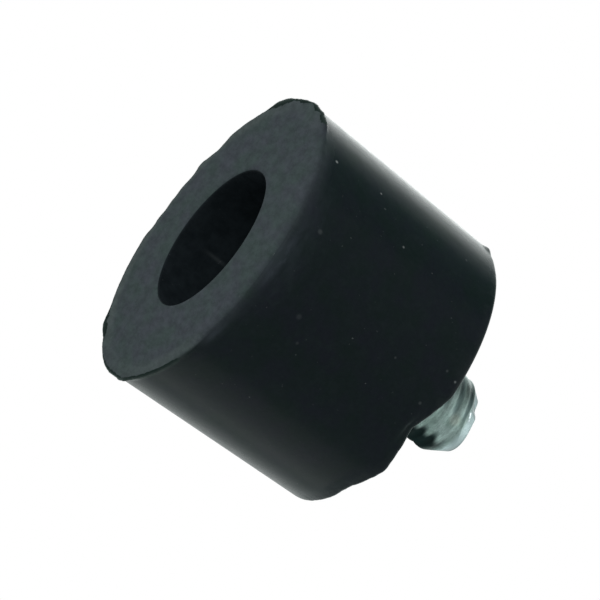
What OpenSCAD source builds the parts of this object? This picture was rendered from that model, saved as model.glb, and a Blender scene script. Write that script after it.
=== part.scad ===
// Round rubber foot with a threaded stud.
// It stands on its ground face at z = 0, with the stud up along +Z.
// A cap screw lies head down in the recess of the rubber body. Its head bears on a steel
// washer that is moulded into the rubber, and its shank is the stud.

/* [Rubber body] */
// Diameter of the ground face
ground_d = 30; // [24:0.5:40]
// Diameter of the top face, smaller so that the body leaves its mould
top_d = 29; // [24:0.1:40]
// Height of the rubber
body_h = 22; // [20:0.5:28]
// Radius of the rim round the ground face
ground_rim_r = 0.3; // [0.2:0.1:1.5]
// Radius of the rim round the top face
top_rim_r = 0.5; // [0.2:0.1:1.5]

/* [Recess] */
// Radius of the edge round the recess mouth
mouth_r = 0.3; // [0.1:0.1:0.8]
// Thickness of the rubber between the washer and the top face
floor_t = 5.4; // [3:0.1:6]

/* [Washer] */
// How far the washer reaches into the rubber, past the wall of the recess
washer_hold = 2.7; // [1.5:0.1:3.5]
// Thickness of the washer
washer_t = 1.6; // [1.2:0.1:2.5]

/* [Cap screw] */
// Outside diameter of the thread
screw_d = 8; // [6:0.1:8.4]
// How much the plain shank under the head is thinner than the thread, in radius
shank_step = 0.4; // [0.2:0.1:0.8]
// Length of the screw under the head
screw_l = 16; // [14:1:20]
// Pitch of the thread
thread_pitch = 1.25; // [0.75:0.25:1.5]
// Length of the chamfer at the end of the thread
tip_l = 1.6; // [0.6:0.1:2]
// How much the chamfer at the end of the thread takes off its radius
tip_step = 1; // [0.5:0.1:1.2]
// Diameter of the head
head_d = 13; // [11:0.5:13.5]
// Height of the head
head_h = 8; // [6:0.5:9]
// Length of the chamfer on the head's free edge
head_chamfer = 0.7; // [0.2:0.1:1]
// Width of the hexagon socket across its flats
socket_af = 6; // [4:0.5:7]
// Depth of the hexagon socket
socket_depth = 4; // [3:0.5:5]

/* [Fits] */
// Radial clearance between the thread and the holes that it is put through
thread_clearance = 0.2; // [0.05:0.05:0.5]
// Radial clearance between the screw head and the wall of the recess
head_clearance = 0.8; // [0.5:0.1:1.2]

/* [Hidden] */
$fn = 96;
ground_r = ground_d / 2;
top_r = top_d / 2;
recess_r = head_d / 2 + head_clearance;
washer_r = recess_r + washer_hold;
// Slope of the side, away from upright
draft = atan((ground_r - top_r) / body_h);
// The washer lies between these heights, and the head bears on its lower face
washer_top = body_h - floor_t;
seat_z = washer_top - washer_t;
thread_r = screw_d / 2;
shank_r = thread_r - shank_step;
passage_r = thread_r + thread_clearance;
// The thread starts level with the top face
thread_start = body_h - seat_z;
// Depth of the thread, and half the width of its crest and of its root
thread_depth = 0.6134 * thread_pitch;
crest_half = thread_pitch / 16;
root_half = thread_pitch / 8;
// Whole turns of the thread between the top face and the end of the stud
turns = floor((screw_l - thread_start) / thread_pitch);
// Overlap of cutting tools with the open air
over = 1;

// Centre of the circle that rounds the corner between the side and the ground face
function ground_rim_centre() =
    [ground_r - ground_rim_r * (1 + sin(draft)) / cos(draft), ground_rim_r];

// Centre of the circle that rounds the corner between the side and the top face
function top_rim_centre() =
    [top_r - top_rim_r * (1 - sin(draft)) / cos(draft), body_h - top_rim_r];

// Point where a rim circle touches the sloping side
function on_side(centre, r) = centre + r * [cos(draft), sin(draft)];

// Half section of the body without its holes
module body_section() {
    low = ground_rim_centre();
    high = top_rim_centre();
    polygon([
        [0, 0],
        [low[0], 0],
        low,
        on_side(low, ground_rim_r),
        on_side(high, top_rim_r),
        high,
        [high[0], body_h],
        [0, body_h],
    ]);
    intersection() {
        translate(low) circle(r = ground_rim_r);
        translate([low[0], 0]) square([ground_rim_r, ground_rim_r * 2]);
    }
    intersection() {
        translate(high) circle(r = top_rim_r);
        translate([high[0], high[1] - top_rim_r]) square([top_rim_r, top_rim_r * 2]);
    }
}

// Section of the ring that rounds the edge of the recess mouth
module mouth_section() {
    difference() {
        translate([recess_r - over, -over]) square([over + mouth_r, over + mouth_r]);
        translate([recess_r + mouth_r, mouth_r]) circle(r = mouth_r);
    }
}

module rubber_body() {
    color([0.09, 0.09, 0.10])
    difference() {
        rotate_extrude() body_section();
        translate([0, 0, -over]) cylinder(r = recess_r, h = seat_z + over);
        rotate_extrude() mouth_section();
        translate([0, 0, seat_z]) cylinder(r = washer_r, h = washer_t);
        cylinder(r = passage_r, h = body_h + over);
    }
}

module insert_washer() {
    color([0.62, 0.64, 0.66])
    translate([0, 0, seat_z])
    difference() {
        cylinder(r = washer_r, h = washer_t);
        translate([0, 0, -over]) cylinder(r = passage_r, h = washer_t + 2 * over);
    }
}

// Half section of the cap screw, with the face under the head at height 0
module screw_section() {
    polygon([
        [0, -head_h],
        [head_d / 2 - head_chamfer, -head_h],
        [head_d / 2, head_chamfer - head_h],
        [head_d / 2, 0],
        [shank_r, 0],
        [shank_r, thread_start],
        [thread_r, thread_start],
        [thread_r, screw_l - tip_l],
        [thread_r - tip_step, screw_l],
        [0, screw_l],
    ]);
}

// Half section of one groove of the thread, with its middle at height 0
module groove_section() {
    flank_end = thread_pitch / 2 - crest_half;
    polygon([
        [thread_r - thread_depth, -root_half],
        [thread_r, -flank_end],
        [thread_r + over, -flank_end],
        [thread_r + over, flank_end],
        [thread_r, flank_end],
        [thread_r - thread_depth, root_half],
    ]);
}

// The thread is drawn as rings, one for each turn, and not as a helix
module cap_screw() {
    color([0.70, 0.73, 0.76])
    translate([0, 0, seat_z])
    difference() {
        rotate_extrude() screw_section();
        for (i = [0 : turns - 1])
        translate([0, 0, screw_l - (i + 0.5) * thread_pitch])
        rotate_extrude() groove_section();
        translate([0, 0, -head_h - over])
        cylinder(d = socket_af / cos(30), h = socket_depth + over, $fn = 6);
    }
}

rubber_body();
insert_washer();
cap_screw();
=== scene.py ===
"""The looks of a round rubber foot with a threaded stud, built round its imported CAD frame.

Lengths are in millimetres and angles in degrees, and MM turns a length into metres.
The foot stands on its ground face at z = 0 and its stud points up. The photograph looks up at
the ground face from below, so the floor shows from above only.

Places round the axis are azimuths. A bump has its middle, its half width and its height. A bite
runs from its start to its deepest place and its end, and has a depth. A span says how far short
of a rim or an end something starts, and how far short it is full. Grain has layers, each with a
depth, a number of waves in a radian, and a seed.
"""

import math

import bpy
from mathutils import Matrix, Vector, noise


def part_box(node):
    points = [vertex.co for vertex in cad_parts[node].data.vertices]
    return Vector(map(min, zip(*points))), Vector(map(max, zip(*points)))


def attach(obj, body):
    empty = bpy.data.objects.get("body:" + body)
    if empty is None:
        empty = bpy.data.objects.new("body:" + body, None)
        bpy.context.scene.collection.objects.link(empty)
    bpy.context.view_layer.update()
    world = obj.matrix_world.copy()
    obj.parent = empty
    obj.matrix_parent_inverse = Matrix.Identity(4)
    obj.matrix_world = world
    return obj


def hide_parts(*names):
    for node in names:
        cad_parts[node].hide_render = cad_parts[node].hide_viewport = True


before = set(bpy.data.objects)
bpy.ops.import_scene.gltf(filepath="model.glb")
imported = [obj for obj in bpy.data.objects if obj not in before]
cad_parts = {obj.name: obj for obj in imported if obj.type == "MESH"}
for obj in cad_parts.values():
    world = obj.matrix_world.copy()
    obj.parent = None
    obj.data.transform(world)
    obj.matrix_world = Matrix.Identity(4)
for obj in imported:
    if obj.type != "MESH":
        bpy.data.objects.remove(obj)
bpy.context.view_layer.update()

MM = 0.001

# Rubber body, as in the CAD model: its height, its radii at the ground face and the top face, the
# roundings of its rims and of the recess mouth, the recess, and the passage for the stud
BODY_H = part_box("rubber_body")[1].z / MM
GROUND_R = 15.0
TOP_R = 14.5
GROUND_RIM_R = 0.3
TOP_RIM_R = 0.5
MOUTH_R = 0.3
RECESS_R = 7.3
PASSAGE_R = 4.2
DRAFT = math.degrees(math.atan((GROUND_R - TOP_R) / BODY_H))

# Washer, whose lower face is the seat of the screw head
SEAT_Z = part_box("insert_washer")[0].z / MM
WASHER_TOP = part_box("insert_washer")[1].z / MM
WASHER_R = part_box("insert_washer")[1].x / MM

# Cap screw, as in the CAD model. The chamfer at its end is TIP_L long and takes TIP_STEP off the
# radius. The plain shank under the thread is thinner than the thread.
TIP_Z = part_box("cap_screw")[1].z / MM
THREAD_R = 4.0
SHANK_R = 3.6
PITCH = 1.25
TIP_L = 1.6
TIP_STEP = 1.0
HEAD_R = 6.5
HEAD_H = 8.0
HEAD_CHAMFER = 0.7
SOCKET_AF = 6.0
SOCKET_DEPTH = 4.0

# Worn thread form: its depth, and half the crest's and half the root's width in pitches
THREAD_DEPTH = 0.17
CREST_HALF = 0.10
ROOT_HALF = 0.06
# How far the thread is shifted down
THREAD_SHIFT = 0.25
# Rings of points in a turn of the thread
RINGS_IN_TURN = 20
# How hollow the end face is, and how far short of the end its edge lies
END_HOLLOW = 0.05
END_EDGE = 0.03
# The end of the stud is a little bent: towards this azimuth, by this much at its tip, and from
# this height up
BEND_TO = 5
BEND = 0.20
BEND_FROM_Z = 25.0
# Dent in the chamfer of the stud's end, as a bump, and its span
TIP_DENT = (221, 27, 0.50)
DENT_SPAN = (1.5, 0.5)
# Where that end is fuller, as a bump
TIP_FULL = (298, 46, 0.60)
# Bumps where the thread is worn down, with the share that is lost as their height
WORN_THREAD = [(276, 48, 0.65), (355, 50, 0.60)]
# Bump where the thread's roots are less dirty and get less painted shade at its front, and the
# span near its end over which both fade out
PLAIN_FRONT_ROOTS = (280, 34, 0.9)
PLAIN_END_SPAN = (TIP_L, 0.4)
# Span of the bright chamfer
BRIGHT_SPAN = (1.4, 0.7)
# Darker places round the stud, as bumps. On the chamfer they end between two azimuths. The edge
# of the stud's end is darker all round.
DARKER_PLACES = [(226, 42, 1.0), (262, 17, 0.9)]
DARKER_PLACES_END = (258, 268)
DARKER_PLACES_END_SPAN = (1.5, 0.9)
DARKER_EDGE_SPAN = (0.35, 0.1)
# Painted shade on the shaded side of the stud, in degrees on from the azimuth FRONT: where it
# starts and is full on the crests of the thread, and where it fades and ends. In the grooves it
# starts earlier. Towards the end of the stud it loses a share of its strength.
FRONT = 270
PAINTED_SHADE = (29, 54, 100, 125)
PAINTED_SHADE_IN_GROOVE = 7
PAINTED_SHADE_LOST = 0.75
PAINTED_SHADE_LOST_SPAN = (2.6, 0.9)
# Spots on the stud: azimuth, height, radius and how much they show. The brownish one is on the
# thread, and the painted highlights are on the chamfer of its end.
BROWN_SPOT = (270, 28.7, 0.55, 0.3)
PAINTED_HIGHLIGHTS = [
    (249.5, 29.92, 0.17, 0.8),
    (253.5, 30.05, 0.15, 0.6),
    (258.0, 30.20, 0.12, 0.4),
]
# Knurl on the side of the screw head: how many ridges, and how deep
KNURL_RIDGES = 48
KNURL_DEPTH = 0.14
# Rounding of the corner under the head
HEAD_FILLET = 0.3

# Bites out of the top rim, and its grain, which shows only beyond TOP_SOUND. Both have a span
# down the side and one in along the face, and TOP_LOSS_IN of their depth is lost in radius too.
TOP_BITES = [
    (264, 282, 301, 1.05),
    (301, 316, 342, 0.44),
    (314, 321, 330, 0.10),
    (326, 338, 354, 0.10),
    (196, 206, 216, 0.05),
    (112, 128, 145, 0.30),
    (62, 70, 82, 0.22),
]
TOP_GRAIN = [(0.04, 11, 2.0), (0.03, 37, 4.0)]
TOP_SOUND = 0.03
TOP_DOWN_SPAN = (2.4, 0.3)
TOP_IN_SPAN = (3.4, 0.4)
TOP_LOSS_IN = 0.35
# Nib that stands out of the top rim, as a bump, and its spans
TOP_NIB = (190, 5, 0.20)
NIB_DOWN_SPAN = (0.9, 0.4)
NIB_IN_SPAN = (0.8, 0.1)
# Scuffed band along the top rim, and its strength where the rim is whole and where it is worn
SCUFF_DOWN_SPAN = (1.6, 0.5)
SCUFF_IN_SPAN = (1.6, 0.4)
SCUFF_WHOLE = 0.15
SCUFF_WORN = 0.3
# Flash that stands out of the ground rim, and wear where that rim has lost height, as bumps and
# grain. Both have a span in along the face, and heights where they start to fade and end.
FLASH_LEAST = 0.04
FLASH_GRAIN = [(0.07, 12, 5.0), (0.05, 40, 7.0)]
GROUND_FLASH = [
    (10, 34, 0.24),
    (36, 9, 0.48),
    (347, 10, 0.26),
    (154, 10, 0.50),
    (161, 8, 0.38),
    (168, 8, 0.20),
    (176, 9, 0.20),
    (184, 8, 0.20),
    (194, 8, 0.24),
    (202, 7, 0.26),
]
GROUND_WEAR = [
    (80, 8, 0.10),
    (92, 18, 0.24),
    (104, 7, 0.16),
    (118, 10, 0.28),
]
WEAR_GRAIN = [(0.05, 13, 9.0)]
GROUND_IN_SPAN = (1.2, 0.3)
GROUND_FADE = (0.2, 0.6)
# Stretches of the ground rim with painted shade, where its flash turns from the light, as bumps
# of how far they reach inwards, and the grain of that reach
LIP_SHADE = [
    (334, 42, 0.18),
    (5, 30, 0.32),
    (34, 13, 1.05),
    (60, 30, 0.32),
    (95, 50, 0.28),
    (156, 13, 1.15),
    (173, 14, 0.50),
    (188, 7, 0.50),
    (198, 7, 0.55),
]
LIP_SHADE_GRAIN = [(0.4, 30, 3.0)]
# Front stretch of the ground rim, rubbed round, as a bump, and its span in along the face
RUBBED_RIM = (266, 56, 0.26)
RUBBED_IN_SPAN = (1.3, 0.0)
# Heights where what is rubbed off the face, and off the side, starts to fade and ends
FACE_RUB_FADE = (0.0, 1.2)
SIDE_RUB_FADE = (0.0, 1.3)
# Azimuths between which its colour is that of a rubbed edge: rise, full, fall, end
RUBBED_AZIMUTHS = (196, 208, 294, 306)
# How the pale colour of the ground face fades over its rim, as (distance, strength), on crisp and
# on rubbed stretches. Distances are less than 0 on the face and more than 0 up the side.
CRISP_FADE = [(-0.05, 1.0), (0.08, 0.7), (0.2, 0.35), (0.35, 0.0)]
RUBBED_FADE = [
    (-1.6, 1.0), (-0.7, 0.8), (-0.25, 0.55), (0.0, 0.42),
    (0.3, 0.34), (0.6, 0.24), (0.9, 0.10), (1.4, 0.0),
]
# Where the pale colour reaches further over the rim, as a bump
PALE_REACH = (222, 26, 0.25)
# Paler outer border of the ground face: its span, its least strength, and bumps where it is
# stronger
BORDER_SPAN = (1.9, 0.9)
BORDER_LEAST = 0.3
BORDER_STRONG = [(90, 88, 2.0), (325, 40, 0.4)]
# Rubbed streaks low on the side: a bump, and the heights where each rises, is full, starts to
# fade and ends
STREAKS = [
    ((263, 14, 0.90), (0.1, 0.4, 0.7, 1.5)),
    ((256, 44, 0.35), (0.5, 1.0, 1.0, 4.0)),
    ((295, 8, 0.80), (0.2, 0.4, 0.6, 1.0)),
]
# Rows of points lie closer up to this height on the side, and up to this far in from the rim
CLOSE_UP_TO = 2.6
CLOSE_IN_TO = 1.8
# Chamfer at the top edge of the passage for the stud
PASSAGE_CHAMFER = 0.15

# Specks of dust on the side: azimuth, height, radius and how much they show
DUST = [
    (217.8, 1.83, 0.14, 0.9),
    (215.8, 7.18, 0.10, 0.7),
    (230.4, 10.79, 0.11, 0.5),
    (246.4, 2.66, 0.22, 0.11),
    (214.3, 17.85, 0.12, 0.15),
    (273.6, 5.33, 0.24, 0.06),
    (281.0, 6.78, 0.14, 0.07),
    (265.2, 15.03, 0.10, 0.12),
    (258.0, 20.0, 0.12, 0.12),
    (259.4, 21.25, 0.11, 0.45),
    (272.6, 19.60, 0.14, 0.12),
    (150.0, 6.10, 0.10, 0.6),
    (95.0, 13.4, 0.14, 0.3),
    (40.0, 4.20, 0.10, 0.4),
    (10.0, 16.0, 0.12, 0.3),
]
# Light scratch along the recess wall: azimuth, how far to its sides it starts to fade and ends,
# and the heights where it rises, is full, starts to fade and ends
SCRATCH = (79.5, (0.4, 2.2), (2.6, 4.4, 4.6, 6.2))

# Black card that shows only in the gloss of the side that faces it: its size, and its azimuth,
# elevation and distance from the middle of the foot
CARD_SIZE = 320
CARD_PLACE = (176, 24, 450)

# The photograph's view: its width in pixels, the angle between the foot's axis, towards the stud,
# and the view's own direction, and how far below the right that axis points in the picture
PICTURE_PX = 600
AXIS_OFF_VIEW = 67.3
AXIS_BELOW_RIGHT = 36.81
# Where the middle of the ground face lies in the picture, how far off, and the scale there
GROUND_CENTRE_PX = (210.3, 236.7)
CAMERA_DISTANCE = 247.9
PX_PER_MM = 11.139
# Width of the camera's sensor, and the distances where its view starts and ends
SENSOR = 36.0
CLIP = (10.0, 10000.0)


# Numbers and sections


def lerp(a, b, t):
    """The value at share t of the way from a to b."""
    return a + (b - a) * t


def clamp(value):
    """The value, kept between 0 and 1."""
    return min(max(value, 0.0), 1.0)


def smooth(low, high, value):
    """0 below low, 1 above high, and a smooth step between."""
    t = clamp((value - low) / (high - low))
    return t * t * (3 - 2 * t)


def plateau(value, rise, full, fall, end):
    """0 up to rise, 1 between full and fall, and 0 again from end."""
    return smooth(rise, full, value) * (1 - smooth(fall, end, value))


def near(edge, span, value):
    """0 up to the start of a span that is counted back from an edge, and 1 from its end on."""
    start, full = span
    return smooth(edge - start, edge - full, value)


def apart(a, b):
    """The angle between two azimuths, 0 to 180."""
    return abs((a - b + 180) % 360 - 180)


def bump(azimuth, centre, half_width, height=1.0):
    """The height at the centre azimuth, falling smoothly to 0 at half_width from it."""
    return height * (1 - smooth(0, half_width, apart(azimuth, centre)))


def bumps(azimuth, places):
    """The sum of the bumps at some places, each with its centre, half width and height."""
    return sum(bump(azimuth, *place) for place in places)


def bite(azimuth, start, deepest, end, depth):
    """The depth at the deepest azimuth, falling evenly to 0 at the start and the end."""
    side = deepest - start if azimuth < deepest else end - deepest
    return depth * max(0.0, 1 - abs(azimuth - deepest) / side)


def noise_round(azimuth, waves, seed):
    """Repeatable noise round a circle, about -1 to 1, with that many waves in a radian."""
    a = math.radians(azimuth)
    return noise.noise(Vector((math.cos(a) * waves, math.sin(a) * waves, seed)))


def ragged(azimuth, layers):
    """The sum of layers of grain at an azimuth."""
    return sum(depth * noise_round(azimuth, waves, seed) for depth, waves, seed in layers)


def polar(radius, azimuth, height):
    """The point at a radius, azimuth and height."""
    a = math.radians(azimuth)
    return radius * math.cos(a), radius * math.sin(a), height


def azimuth_of(x, y):
    """The azimuth of a point, from 0 to 360."""
    return math.degrees(math.atan2(y, x)) % 360


def along(places, where):
    """The value at a place on straight lines through (place, value) pairs in order."""
    for (a, low), (b, high) in zip(places, places[1:]):
        if where < b:
            return lerp(low, high, clamp((where - a) / (b - a)))
    return places[-1][1]


def spread(a, b, count):
    """count points of a section on the line from a to b, both ends included."""
    shares = [i / (count - 1) for i in range(count)]
    return [(lerp(a[0], b[0], t), lerp(a[1], b[1], t)) for t in shares]


def arc(centre, radius, start, end, count):
    """count points of a section on an arc, with its angles measured from outwards."""
    turns = [math.radians(lerp(start, end, i / (count - 1))) for i in range(count)]
    return [(centre[0] + radius * math.cos(t), centre[1] + radius * math.sin(t)) for t in turns]


# Meshes


def new_object(name, points, faces, material):
    """A smooth-shaded mesh object from points in millimetres."""
    mesh = bpy.data.meshes.new(name)
    mesh.from_pydata([Vector(p) * MM for p in points], [], faces)
    mesh.materials.append(material)
    mesh.shade_smooth()
    made = bpy.data.objects.new(name, mesh)
    bpy.context.scene.collection.objects.link(made)
    return made


def ring_quads(rings, columns, closed=False):
    """Quads between successive rings of points. closed joins the last ring to the first."""
    quads = []
    for i in range(rings if closed else rings - 1):
        low, high = i * columns, (i + 1) % rings * columns
        for k in range(columns):
            n = (k + 1) % columns
            quads.append((low + n, low + k, high + k, high + n))
    return quads


def store(piece, name, rule):
    """Stores rule(x, y, z), in millimetres, at each point of a piece as a float attribute."""
    values = [float(rule(*(v.co / MM))) for v in piece.data.vertices]
    piece.data.attributes.new(name, "FLOAT", "POINT").data.foreach_set("value", values)


def mark_sharp(piece, angle):
    """Shades edges sharp where the faces meet at more than this angle."""
    piece.data.set_sharp_from_angle(angle=math.radians(angle))


# Rubber body


def top_loss(azimuth):
    """How much height the top rim has lost at an azimuth."""
    bites = sum(bite(azimuth, *place) for place in TOP_BITES)
    return max(0.0, bites - TOP_SOUND + ragged(azimuth, TOP_GRAIN))


def ground_flash(azimuth):
    """How far the edge of the ground face stands out at an azimuth."""
    return FLASH_LEAST + bumps(azimuth, GROUND_FLASH) + ragged(azimuth, FLASH_GRAIN)


def ground_loss(azimuth):
    """How much the ground rim has worn upwards at an azimuth."""
    return max(0.0, bumps(azimuth, GROUND_WEAR) + ragged(azimuth, WEAR_GRAIN))


def rubber_section():
    """The body's closed section, as (radius, height), up the passage and round the outside."""
    cos_d, sin_d = math.cos(math.radians(DRAFT)), math.sin(math.radians(DRAFT))
    top = (TOP_R - TOP_RIM_R * (1 - sin_d) / cos_d, BODY_H - TOP_RIM_R)
    ground = (GROUND_R - GROUND_RIM_R * (1 + sin_d) / cos_d, GROUND_RIM_R)
    rim_top = arc(top, TOP_RIM_R, 90, DRAFT, 9)
    rim_ground = arc(ground, GROUND_RIM_R, DRAFT, -90, 8)
    mouth = arc((RECESS_R + MOUTH_R, MOUTH_R), MOUTH_R, 270, 180, 7)
    low_side = (GROUND_R - CLOSE_UP_TO * sin_d, CLOSE_UP_TO)
    face_edge = (GROUND_R - CLOSE_IN_TO, 0.0)
    return (
        spread((PASSAGE_R, WASHER_TOP), (PASSAGE_R, BODY_H - PASSAGE_CHAMFER), 6)
        + spread((PASSAGE_R + PASSAGE_CHAMFER, BODY_H), rim_top[0], 30)[:-1]
        + rim_top
        + spread(rim_top[-1], low_side, 56)[1:]
        + spread(low_side, rim_ground[0], 18)[1:-1]
        + rim_ground
        + spread(rim_ground[-1], face_edge, 12)[1:]
        + spread(face_edge, mouth[0], 18)[1:-1]
        + mouth
        + spread(mouth[-1], (RECESS_R, SEAT_Z), 34)[1:]
        + [(WASHER_R, SEAT_Z), (WASHER_R, WASHER_TOP)]
    )


def worn_point(radius, height, azimuth):
    """A point of the section at an azimuth, with the wear and the flash of the moulding."""
    by_top = near(BODY_H, TOP_DOWN_SPAN, height) * near(TOP_R, TOP_IN_SPAN, radius)
    loss = top_loss(azimuth) * by_top
    nib = bump(azimuth, *TOP_NIB) * near(BODY_H, NIB_DOWN_SPAN, height)
    # The ground rim, and what was rubbed off each side of its front stretch
    outer = near(GROUND_R, GROUND_IN_SPAN, radius)
    by_ground = outer * (1 - smooth(*GROUND_FADE, height))
    rubbed = bump(azimuth, *RUBBED_RIM)
    rubbed_in = near(GROUND_R, RUBBED_IN_SPAN, radius)
    face_rub = rubbed * rubbed_in * (1 - smooth(*FACE_RUB_FADE, height))
    side_rub = rubbed * outer * (1 - smooth(*SIDE_RUB_FADE, height))
    height += ground_loss(azimuth) * by_ground + face_rub - loss
    radius += ground_flash(azimuth) * by_ground - side_rub
    radius += nib * near(TOP_R, NIB_IN_SPAN, radius) - TOP_LOSS_IN * loss
    return polar(radius, azimuth, height)


def rubbed_share(azimuth):
    """1 at the rubbed front stretch of the ground rim, and 0 away from it."""
    return plateau(azimuth, *RUBBED_AZIMUTHS)


def sole_rule(x, y, z):
    """1 on the ground face, which is paler than the side. It fades over the rim."""
    r, azimuth = math.hypot(x, y), azimuth_of(x, y)
    within_recess = r < GROUND_R - 2 and z > 0.1
    if within_recess:
        return 0.0
    on_side = z > 0.25
    where = z if on_side else max(z, 0.0) + r - GROUND_R
    where -= bump(azimuth, *PALE_REACH)
    return lerp(along(CRISP_FADE, where), along(RUBBED_FADE, where), rubbed_share(azimuth))


def recess_rule(x, y, z):
    """1 on the wall and the floor of the recess."""
    return 1.0 if math.hypot(x, y) < RECESS_R + 0.2 and 0.1 < z < SEAT_Z + 0.1 else 0.0


def lip_shade_rule(x, y, z):
    """Up to 1 along the stretches of the ground face's edge with painted shade."""
    if z > 0.5:
        return 0.0
    r, azimuth = math.hypot(x, y), azimuth_of(x, y)
    reach = bumps(azimuth, LIP_SHADE) * (1 + ragged(azimuth, LIP_SHADE_GRAIN))
    inside = GROUND_R + ground_flash(azimuth) - r
    return smooth(0.02, 0.14, reach) * (1 - smooth(0.7 * reach, 1.1 * reach + 0.06, inside))


def border_rule(x, y, z):
    """Up to 1 on the outer border of the ground face, which is paler and greener."""
    r, azimuth = math.hypot(x, y), azimuth_of(x, y)
    strong = clamp(BORDER_LEAST + bumps(azimuth, BORDER_STRONG))
    return near(GROUND_R, BORDER_SPAN, r) * strong * (1 - rubbed_share(azimuth))


def streak_rule(x, y, z):
    """Up to 1 on the rubbed streaks of the side, next to the rubbed stretch of the ground rim."""
    if math.hypot(x, y) < GROUND_R - 1:
        return 0.0
    azimuth = azimuth_of(x, y)
    return clamp(sum(bump(azimuth, *place) * plateau(z, *heights) for place, heights in STREAKS))


def scuff_rule(x, y, z):
    """More than 0 along the top rim, and most where it is worn."""
    band = near(BODY_H, SCUFF_DOWN_SPAN, z) * near(TOP_R, SCUFF_IN_SPAN, math.hypot(x, y))
    return band * (SCUFF_WHOLE + SCUFF_WORN * clamp(top_loss(azimuth_of(x, y))))


def scratch_rule(x, y, z):
    """Up to 1 on the scratch in the recess."""
    azimuth, fade, heights = SCRATCH
    if math.hypot(x, y) > RECESS_R + 0.1:
        return 0.0
    return plateau(z, *heights) * (1 - smooth(*fade, apart(azimuth_of(x, y), azimuth)))


def make_rubber_body(material, columns=360):
    """The moulded rubber, with what its material reads stored at its points."""
    section = rubber_section()
    points = [worn_point(r, z, 360 * k / columns) for r, z in section for k in range(columns)]
    faces = ring_quads(len(section), columns, closed=True)
    piece = new_object("moulded_rubber_body", points, faces, material)
    mark_sharp(piece, angle=40)
    store(piece, "sole", sole_rule)
    store(piece, "recess", recess_rule)
    store(piece, "lip_shade", lip_shade_rule)
    store(piece, "border", border_rule)
    store(piece, "streak", streak_rule)
    store(piece, "scuff", scuff_rule)
    store(piece, "scratch", scratch_rule)
    return piece


# Cap screw


def thread_loss(height, azimuth):
    """How deep the thread lies under its crest at a height and azimuth, from 0 to 1."""
    from_crest = abs(((height + THREAD_SHIFT) / PITCH - azimuth / 360) % 1.0 - 0.5)
    return smooth(CREST_HALF, 0.5 - ROOT_HALF, from_crest)


def cone_radius(height):
    """Radius of the chamfer's cone at the stud's end."""
    return THREAD_R - TIP_STEP * (1 - (TIP_Z - height) / TIP_L)


def thread_radius(height, azimuth):
    """Radius of the threaded shank, with the cone of its chamfered tip."""
    depth = THREAD_DEPTH * (1 - bumps(azimuth, WORN_THREAD))
    radius = THREAD_R - depth * thread_loss(height, azimuth)
    cone = cone_radius(height) + bump(azimuth, *TIP_FULL)
    dent = bump(azimuth, *TIP_DENT) * near(TIP_Z, DENT_SPAN, height)
    return min(radius, cone) - dent


def socket_radius(azimuth):
    """Radius of the hexagon socket's wall at an azimuth."""
    return SOCKET_AF / 2 / math.cos(math.radians(azimuth % 60 - 30))


def knurl_radius(azimuth):
    """Radius of the knurled side of the head at an azimuth."""
    return HEAD_R - KNURL_DEPTH / 2 * (1 - math.cos(math.radians(azimuth * KNURL_RIDGES)))


def even(radius):
    """A radius rule that is the same all round."""
    return lambda azimuth: radius


def thread_rings():
    """The end face and the thread, down to the top of the rubber, as (radius rule, height)."""
    tip_r = THREAD_R - TIP_STEP
    shares = (0.02, 0.35, 0.7)
    end_face = [(even(tip_r * share), TIP_Z - END_HOLLOW * (1 - share)) for share in shares]
    steps = round((TIP_Z - BODY_H) / PITCH * RINGS_IN_TURN)
    heights = [lerp(TIP_Z - END_EDGE, BODY_H, i / steps) for i in range(steps + 1)]
    return end_face + [(lambda a, z=z: thread_radius(z, a), z) for z in heights]


def head_rings():
    """The plain shank, the head and its socket, with small bevels, as (radius rule, height)."""
    head_low = SEAT_Z - HEAD_H
    chamfer = (HEAD_R - HEAD_CHAMFER, head_low + HEAD_CHAMFER)
    round_parts = (
        spread((SHANK_R, BODY_H - 0.4), (SHANK_R, SEAT_Z + HEAD_FILLET), 5)
        + spread((SHANK_R + HEAD_FILLET, SEAT_Z), (HEAD_R - 0.2, SEAT_Z), 4)
    )
    side = spread((HEAD_R, SEAT_Z - 0.15), (HEAD_R, chamfer[1] + 0.2), 10)
    low_parts = arc(chamfer, HEAD_CHAMFER - 0.05, 0, -90, 8) + [
        (socket_radius(0) + 1.2, head_low),
        (socket_radius(0) + 0.15, head_low),
    ]
    depths = (0.2, 0.8, 1.8, 3.0, SOCKET_DEPTH)
    rings = [(even(r), z) for r, z in round_parts]
    rings += [(knurl_radius, z) for _, z in side]
    rings += [(even(r), z) for r, z in low_parts]
    rings += [(socket_radius, head_low + depth) for depth in depths]
    floor = head_low + SOCKET_DEPTH
    return rings + [(lambda a, s=s: s * socket_radius(a), floor) for s in (0.8, 0.4, 0.02)]


def bent_point(radius, azimuth, height):
    """A point of the screw, with the bend of its end."""
    x, y, z = polar(radius, azimuth, height)
    bend = BEND * clamp((height - BEND_FROM_Z) / (TIP_Z - BEND_FROM_Z)) ** 2
    aside = polar(bend, BEND_TO, 0.0)
    return x + aside[0], y + aside[1], z


def make_cap_screw(material, columns=240):
    """The screw, from the end of its stud to the floor of its socket."""
    rings = thread_rings() + head_rings()
    turns = [360 * k / columns for k in range(columns)]
    points = [bent_point(rule(a), a, z) for rule, z in rings for a in turns]
    last = (len(rings) - 1) * columns
    ends = [tuple(range(columns)), tuple(reversed(range(last, last + columns)))]
    faces = ring_quads(len(rings), columns) + ends
    piece = new_object("threaded_cap_screw", points, faces, material)
    mark_sharp(piece, angle=50)
    store(piece, "groove", groove_rule)
    store(piece, "chamfer", chamfer_rule)
    store(piece, "shaded_side", painted_shade_rule)
    store(piece, "darkened", darker_places_rule)
    return piece


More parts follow.
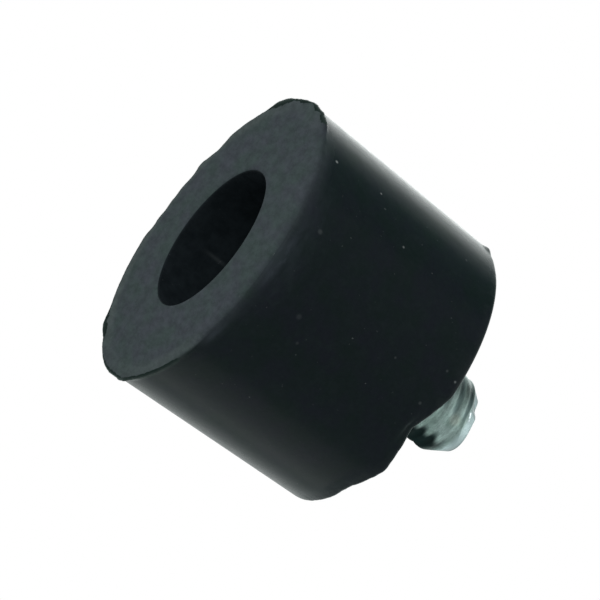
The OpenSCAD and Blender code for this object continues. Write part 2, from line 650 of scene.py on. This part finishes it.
def groove_rule(x, y, z):
    """1 at the dirty roots of the thread, with painted shade, and less at its front and its end.
    """
    if z < BODY_H or z > TIP_Z - END_HOLLOW:
        return 0.0
    azimuth = azimuth_of(x, y)
    plain_roots = max(near(TIP_Z, PLAIN_END_SPAN, z), bump(azimuth, *PLAIN_FRONT_ROOTS))
    return thread_loss(z, azimuth) * (1 - plain_roots)


def chamfer_rule(x, y, z):
    """1 on the bright chamfer of the stud's end."""
    return near(TIP_Z, BRIGHT_SPAN, z)


def painted_shade_rule(x, y, z):
    """1 in the painted shade on the shaded side of the stud, which is weaker towards its end."""
    if z < BODY_H:
        return 0.0
    azimuth = azimuth_of(x, y)
    rise, full, fall, end = PAINTED_SHADE
    earlier = PAINTED_SHADE_IN_GROOVE * thread_loss(z, azimuth)
    beside = plateau((azimuth - FRONT) % 360, rise - earlier, full - earlier, fall, end)
    return beside * (1 - PAINTED_SHADE_LOST * near(TIP_Z, PAINTED_SHADE_LOST_SPAN, z))


def darker_places_rule(x, y, z):
    """1 on the darker side of the stud, away from the painted shade, and round the edge of its
    end.
    """
    azimuth = azimuth_of(x, y)
    darkening = clamp(bumps(azimuth, DARKER_PLACES))
    darkening *= 1 - smooth(*DARKER_PLACES_END, azimuth) * near(TIP_Z, DARKER_PLACES_END_SPAN, z)
    return max(darkening, near(TIP_Z, DARKER_EDGE_SPAN, z))


# Materials


class Recipe:
    """A material under construction: short ways to add nodes in front of its shader."""

    def __init__(self, name):
        """A plain material, with the place in millimetres as input for its noises."""
        self.material = bpy.data.materials.new(name)
        self.material.use_nodes = True
        self.tree = self.material.node_tree
        self.shader = self.tree.nodes["Principled BSDF"]
        place = self.node("ShaderNodeTexCoord").outputs["Object"]
        self.place = self.vector("MULTIPLY", place, (1 / MM, 1 / MM, 1 / MM))

    def node(self, kind, **settings):
        """A new node with its settings."""
        made = self.tree.nodes.new(kind)
        for key, value in settings.items():
            setattr(made, key, value)
        return made

    def put(self, socket, value):
        """Links an output to a socket, or sets the socket's own value."""
        if isinstance(value, bpy.types.NodeSocket):
            self.tree.links.new(value, socket)
        elif socket.type == "RGBA":
            socket.default_value = (*value, 1.0)
        else:
            socket.default_value = value

    def shade(self, **values):
        """Sets or links the shader's sockets, such as Base_Color or Roughness."""
        for key, value in values.items():
            self.put(self.shader.inputs[key.replace("_", " ")], value)

    def vector(self, operation, a, b):
        """The result of an operation on two vectors."""
        made = self.node("ShaderNodeVectorMath", operation=operation)
        self.put(made.inputs[0], a)
        self.put(made.inputs[1], b)
        return made.outputs["Value" if operation == "DISTANCE" else "Vector"]

    def math(self, operation, a, b):
        """The result of an operation on two numbers."""
        made = self.node("ShaderNodeMath", operation=operation)
        self.put(made.inputs[0], a)
        self.put(made.inputs[1], b)
        return made.outputs[0]

    def mix(self, factor, a, b):
        """From colour a to colour b."""
        made = self.node("ShaderNodeMix", data_type="RGBA")
        self.put(made.inputs[0], factor)
        self.put(made.inputs[6], a)
        self.put(made.inputs[7], b)
        return made.outputs[2]

    def scaled(self, colour, factor):
        """A colour made lighter or darker by a factor."""
        made = self.node("ShaderNodeVectorMath", operation="SCALE")
        self.put(made.inputs["Vector"], colour)
        self.put(made.inputs["Scale"], factor)
        return made.outputs["Vector"]

    def blend(self, factor, a, b):
        """From number a to number b."""
        made = self.node("ShaderNodeMix", data_type="FLOAT")
        self.put(made.inputs[0], factor)
        self.put(made.inputs[2], a)
        self.put(made.inputs[3], b)
        return made.outputs[0]

    def noise(self, per_mm, detail=3.0, stretch=(1, 1, 1), roughness=0.55):
        """Noise of per_mm waves in a millimetre, and more of them along a stretched axis."""
        made = self.node("ShaderNodeTexNoise")
        self.put(made.inputs["Vector"], self.vector("MULTIPLY", self.place, stretch))
        made.inputs["Scale"].default_value = per_mm
        made.inputs["Detail"].default_value = detail
        made.inputs["Roughness"].default_value = roughness
        return made.outputs["Fac"]

    def steps(self, value, low, high):
        """0 below low, 1 above high, and a smooth step between. low may be the higher."""
        made = self.node("ShaderNodeMapRange", interpolation_type="SMOOTHSTEP")
        self.put(made.inputs["Value"], value)
        made.inputs["From Min"].default_value = low
        made.inputs["From Max"].default_value = high
        return made.outputs["Result"]

    def attribute(self, name):
        """A value that store() put on the mesh."""
        return self.node("ShaderNodeAttribute", attribute_name=name).outputs["Fac"]

    def speck(self, place, radius, strength):
        """A soft round spot at a place in millimetres, as strong as strength."""
        far = self.vector("DISTANCE", self.place, place)
        return self.math("MULTIPLY", self.steps(far, 1.5 * radius, 0.4 * radius), strength)

    def relief(self, *layers):
        """Bumps of (height, millimetres deep), on top of each other, on the shader's normal."""
        normal = None
        for height, depth in layers:
            made = self.node("ShaderNodeBump")
            made.inputs["Distance"].default_value = depth * MM
            made.inputs["Strength"].default_value = 1.0
            self.put(made.inputs["Height"], height)
            if normal:
                self.put(made.inputs["Normal"], normal)
            normal = made.outputs["Normal"]
        self.put(self.shader.inputs["Normal"], normal)


def side_colour(p, tint, mottle, fine):
    """Near black, a little mottled."""
    side = p.mix(tint, (0.0062, 0.0108, 0.0107), (0.0077, 0.0098, 0.0134))
    side = p.mix(p.steps(mottle, 0.45, 0.75), side, (0.0080, 0.0120, 0.0132))
    return p.scaled(side, p.blend(fine, 0.70, 1.30))


def face_colour(p, tint, mottle):
    """Dark grey with pores, and paler along the border of the ground face."""
    pores = p.steps(p.noise(1.3, detail=4.0, stretch=(1, 0.45, 1), roughness=0.75), 0.30, 0.70)
    face = p.mix(tint, (0.0410, 0.0585, 0.0570), (0.0460, 0.0545, 0.0640))
    border = p.math("MULTIPLY", p.attribute("border"), p.blend(mottle, 0.7, 1.1))
    face = p.mix(border, face, (0.0600, 0.0770, 0.0760))
    return p.scaled(face, p.blend(pores, 0.82, 1.18))


def dust_share(p):
    """How much dust shows: a little grit all over, and the specks on the side."""
    dust = p.math("MULTIPLY", p.steps(p.noise(2.6, detail=2.0), 0.72, 0.80), 0.25)
    for azimuth, height, radius, strength in DUST:
        on_side = GROUND_R - height * math.tan(math.radians(DRAFT))
        spot = p.speck(polar(on_side, azimuth, height), radius, strength)
        dust = p.math("MAXIMUM", dust, spot)
    return dust


def black_rubber():
    """Moulded black rubber: smooth side, matt grey ground face with painted shade on parts of its
    edge, rubbed edges and some dust.
    """
    p = Recipe("black_rubber")
    sole = p.attribute("sole")
    recess = p.attribute("recess")
    tint = p.steps(p.noise(0.35, detail=4.0, stretch=(1, 0.6, 1)), 0.32, 0.68)
    mottle = p.noise(0.9, detail=5.0, roughness=0.65)
    fine = p.noise(2.4, detail=5.0, roughness=0.75)
    wall = p.mix(p.steps(mottle, 0.3, 0.7), (0.0070, 0.0100, 0.0120), (0.0120, 0.0165, 0.0195))
    colour = p.mix(sole, side_colour(p, tint, mottle, fine), face_colour(p, tint, mottle))
    colour = p.mix(recess, colour, wall)
    # Painted shade along stretches of the ground face's edge, broken up by noise
    lip_shade_scraps = p.math("ADD", p.attribute("lip_shade"), p.noise(2.0, detail=3.0, roughness=0.6))
    colour = p.mix(p.steps(lip_shade_scraps, 0.85, 1.15), colour, (0.010, 0.018, 0.016))
    # Rubbed streaks, the scuffed top rim, the scratch in the recess, and dust
    lines = p.steps(p.noise(0.7, detail=3.0, stretch=(1, 1, 2.2), roughness=0.6), 0.36, 0.66)
    streak = p.math("MULTIPLY", p.attribute("streak"), p.blend(lines, 0.45, 1.0))
    colour = p.mix(streak, colour, (0.027, 0.034, 0.041))
    scuff = p.math("MULTIPLY", p.attribute("scuff"), p.steps(mottle, 0.35, 0.62))
    colour = p.mix(scuff, colour, (0.024, 0.028, 0.030))
    colour = p.mix(p.math("MULTIPLY", p.attribute("scratch"), 0.4), colour, (0.050, 0.058, 0.062))
    colour = p.mix(dust_share(p), colour, (0.18, 0.20, 0.20))
    rough = p.blend(p.steps(mottle, 0.3, 0.7), 0.21, 0.27)
    rough = p.blend(sole, rough, 0.85)
    rough = p.blend(recess, rough, 0.60)
    rough = p.blend(p.math("MAXIMUM", streak, scuff), rough, 0.65)
    p.shade(Base_Color=colour, Roughness=rough, Specular_IOR_Level=0.02)
    p.shade(Sheen_Weight=p.blend(p.math("MAXIMUM", sole, recess), 0.08, 0.0))
    p.shade(Sheen_Roughness=0.4, Sheen_Tint=(0.4, 1.0, 0.85))
    p.relief((mottle, 0.010), (fine, 0.005))
    return p.material


def zinc_plate():
    """Bluish zinc plate with brushed lines, a few spots and painted highlights, dirty roots with
    painted shade in its thread, and painted shade on one side.
    """
    p = Recipe("zinc_plate")
    cloud = p.noise(0.7, detail=4.0, roughness=0.6)
    grain = p.noise(6.0, detail=4.0, stretch=(1, 1, 3), roughness=0.7)
    base = p.mix(p.steps(cloud, 0.35, 0.65), (0.130, 0.190, 0.172), (0.190, 0.260, 0.245))
    brown = p.speck(polar(THREAD_R, *BROWN_SPOT[:2]), *BROWN_SPOT[2:])
    base = p.mix(p.math("MULTIPLY", brown, p.blend(grain, 0.3, 1.0)), base, (0.24, 0.22, 0.16))
    brushed = p.noise(1.5, detail=4.0, stretch=(1, 1, 3.5), roughness=0.65)
    base = p.scaled(base, p.blend(p.steps(brushed, 0.25, 0.75), 0.78, 1.22))
    base = p.scaled(base, p.blend(grain, 0.7, 1.3))
    darkened = p.attribute("darkened")
    base = p.mix(p.math("MULTIPLY", p.attribute("chamfer"), 0.85), base, (0.27, 0.355, 0.36))
    base = p.scaled(base, p.blend(darkened, 1.0, 0.74))
    # Painted highlights on the chamfer of the stud's end
    for azimuth, height, radius, strength in PAINTED_HIGHLIGHTS:
        spot = p.speck(polar(cone_radius(height), azimuth, height), radius, strength)
        base = p.mix(spot, base, (0.75, 0.84, 0.86))
    # Dirty roots of the thread with painted shade in them, darker still on the darkened side
    root_dirt_and_shade_share = p.steps(p.attribute("groove"), 0.2, 0.95)
    root_dirt_and_shade_share = p.math("MULTIPLY", root_dirt_and_shade_share, p.blend(cloud, 0.3, 0.9))
    base = p.mix(root_dirt_and_shade_share, base, p.mix(darkened, (0.070, 0.105, 0.100), (0.030, 0.056, 0.060)))
    # Painted shade on the shaded side of the stud, which also takes off the metal's gloss there
    shade_share = p.steps(p.math("MULTIPLY", p.attribute("shaded_side"), p.blend(cloud, 0.7, 1.3)), 0.0, 0.9)
    base = p.mix(shade_share, base, p.mix(cloud, (0.005, 0.019, 0.019), (0.020, 0.026, 0.025)))
    rough = p.blend(p.steps(cloud, 0.3, 0.7), 0.40, 0.50)
    p.shade(Base_Color=base, Metallic=p.blend(shade_share, 1.0, 0.0))
    p.shade(Roughness=rough, Specular_IOR_Level=0.0)
    p.relief((grain, 0.012), (cloud, 0.02))
    return p.material


def washer_steel():
    """Plain steel with turning marks and a little staining."""
    p = Recipe("washer_steel")
    cloud = p.noise(0.8, detail=4.0)
    grain = p.noise(4.0, detail=5.0, roughness=0.7)
    base = p.mix(p.steps(cloud, 0.35, 0.7), (0.46, 0.47, 0.48), (0.33, 0.31, 0.28))
    p.shade(Base_Color=base, Metallic=1.0, Roughness=p.blend(grain, 0.35, 0.6))
    p.relief((grain, 0.008))
    return p.material


def floor_white():
    """Matt white as the camera sees it from above. It is clear from below and to all light."""
    material = bpy.data.materials.new("floor_white")
    material.use_nodes = True
    tree = material.node_tree
    shader = tree.nodes["Principled BSDF"]
    shader.inputs["Base Color"].default_value = (0.86, 0.86, 0.86, 1.0)
    shader.inputs["Roughness"].default_value = 0.9
    shader.inputs["Specular IOR Level"].default_value = 0.1
    clear = tree.nodes.new("ShaderNodeBsdfTransparent")
    choose = tree.nodes.new("ShaderNodeMixShader")
    geometry = tree.nodes.new("ShaderNodeNewGeometry")
    path = tree.nodes.new("ShaderNodeLightPath")
    seen = tree.nodes.new("ShaderNodeMath")
    seen.operation = "GREATER_THAN"
    tree.links.new(path.outputs["Is Camera Ray"], seen.inputs[0])
    tree.links.new(geometry.outputs["Backfacing"], seen.inputs[1])
    tree.links.new(seen.outputs[0], choose.inputs["Fac"])
    tree.links.new(clear.outputs["BSDF"], choose.inputs[1])
    tree.links.new(shader.outputs["BSDF"], choose.inputs[2])
    tree.links.new(choose.outputs["Shader"], tree.nodes["Material Output"].inputs["Surface"])
    return material


# Stage, camera and lights


def make_floor():
    """A wide ring of floor, with its inner edge hidden under the foot."""
    columns, inner, outer, lift = 96, GROUND_R - 2.0, 1500.0, 0.02
    points = [polar(r, 360 * k / columns, lift) for r in (inner, outer) for k in range(columns)]
    floor = new_object("floor", points, ring_quads(2, columns), floor_white())


def aim(thing, azimuth, elevation, distance):
    """Puts a thing at that place from the middle of the foot and turns its +Z away from it."""
    up = math.radians(elevation)
    away = Vector(polar(math.cos(up), azimuth, math.sin(up)))
    thing.location = (Vector((0, 0, BODY_H / 2)) + away * distance) * MM
    thing.rotation_mode = "QUATERNION"
    thing.rotation_quaternion = away.to_track_quat("Z", "Y")


def make_card():
    """A black card out of view, which only gloss shows."""
    half = CARD_SIZE / 2
    corners = [(-half, -half, 0), (half, -half, 0), (half, half, 0), (-half, half, 0)]
    material = bpy.data.materials.new("card_black")
    material.use_nodes = True
    shader = material.node_tree.nodes["Principled BSDF"]
    shader.inputs["Base Color"].default_value = (0.02, 0.02, 0.02, 1.0)
    shader.inputs["Roughness"].default_value = 0.9
    card = new_object("black_card", corners, [(0, 1, 2, 3)], material)
    aim(card, *CARD_PLACE)
    card.visible_camera = False
    card.visible_diffuse = False
    card.visible_shadow = False


def set_world(ambient, seen):
    """Even white light of one strength, and a white surround of another in view and gloss."""
    world = bpy.data.worlds.new("studio")
    bpy.context.scene.world = world
    world.use_nodes = True
    tree = world.node_tree
    light = tree.nodes["Background"]
    light.inputs["Color"].default_value = (1.0, 1.0, 1.0, 1.0)
    light.inputs["Strength"].default_value = ambient
    surround = tree.nodes.new("ShaderNodeBackground")
    surround.inputs["Color"].default_value = (1.0, 1.0, 1.0, 1.0)
    surround.inputs["Strength"].default_value = seen
    path = tree.nodes.new("ShaderNodeLightPath")
    either = path.outputs["Is Camera Ray"]
    for kind in ("Is Glossy Ray", "Is Transmission Ray"):
        most = tree.nodes.new("ShaderNodeMath")
        most.operation = "MAXIMUM"
        tree.links.new(either, most.inputs[0])
        tree.links.new(path.outputs[kind], most.inputs[1])
        either = most.outputs[0]
    choose = tree.nodes.new("ShaderNodeMixShader")
    tree.links.new(either, choose.inputs["Fac"])
    tree.links.new(light.outputs["Background"], choose.inputs[1])
    tree.links.new(surround.outputs["Background"], choose.inputs[2])
    tree.links.new(choose.outputs["Shader"], tree.nodes["World Output"].inputs["Surface"])


def make_lamp(name, azimuth, elevation, distance, size, watts):
    """A soft square lamp that points at the middle of the foot."""
    data = bpy.data.lights.new(name, "AREA")
    data.shape = "SQUARE"
    data.size = size * MM
    data.energy = watts
    lamp = bpy.data.objects.new(name, data)
    bpy.context.scene.collection.objects.link(lamp)
    aim(lamp, azimuth, elevation, distance)
    lamp.visible_camera = False


def make_camera():
    """The photograph's camera, from how the foot's axis and ground face lie in the picture."""
    off, roll = math.radians(AXIS_OFF_VIEW), math.radians(AXIS_BELOW_RIGHT)
    # The foot's own axes as the camera has them: right, down and forward
    up = Vector((math.sin(off) * math.cos(roll), math.sin(off) * math.sin(roll), math.cos(off)))
    across = Vector((-math.sin(roll), math.cos(roll), 0.0))
    foot = Matrix((across, up.cross(across), up))
    offset = [(px - PICTURE_PX / 2) / PX_PER_MM for px in GROUND_CENTRE_PX]
    ground = Vector((*offset, CAMERA_DISTANCE))
    data = bpy.data.cameras.new("camera")
    data.sensor_width = SENSOR
    data.lens = SENSOR * PX_PER_MM * CAMERA_DISTANCE / PICTURE_PX
    data.clip_start, data.clip_end = CLIP[0] * MM, CLIP[1] * MM
    camera = bpy.data.objects.new("camera", data)
    bpy.context.scene.collection.objects.link(camera)
    right, down, forward = foot.col[0], foot.col[1], foot.col[2]
    turned = Matrix((right, -down, -forward)).transposed().to_4x4()
    turned.translation = -(foot @ ground) * MM
    camera.matrix_world = turned
    bpy.context.scene.camera = camera


make_camera()
set_world(ambient=0.50, seen=1.0)
make_floor()
make_card()
make_lamp("key", azimuth=245, elevation=55, distance=450, size=300, watts=0.65)
make_lamp("top", azimuth=165, elevation=72, distance=450, size=100, watts=0.12)
make_lamp("fill", azimuth=5, elevation=10, distance=500, size=400, watts=0.95)
make_lamp("left", azimuth=50, elevation=20, distance=450, size=220, watts=0.05)
make_lamp("rim", azimuth=117, elevation=20, distance=450, size=300, watts=0.50)
make_lamp("under", azimuth=225, elevation=-54, distance=450, size=260, watts=1.10)
bpy.context.scene.view_settings.view_transform = "Standard"

body = make_rubber_body(black_rubber())
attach(body, "root")
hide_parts("rubber_body")

screw = make_cap_screw(zinc_plate())
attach(screw, "root")
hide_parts("cap_screw")

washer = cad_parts["insert_washer"]
steel = washer_steel()
for material_slot in washer.material_slots:
    material_slot.material = steel
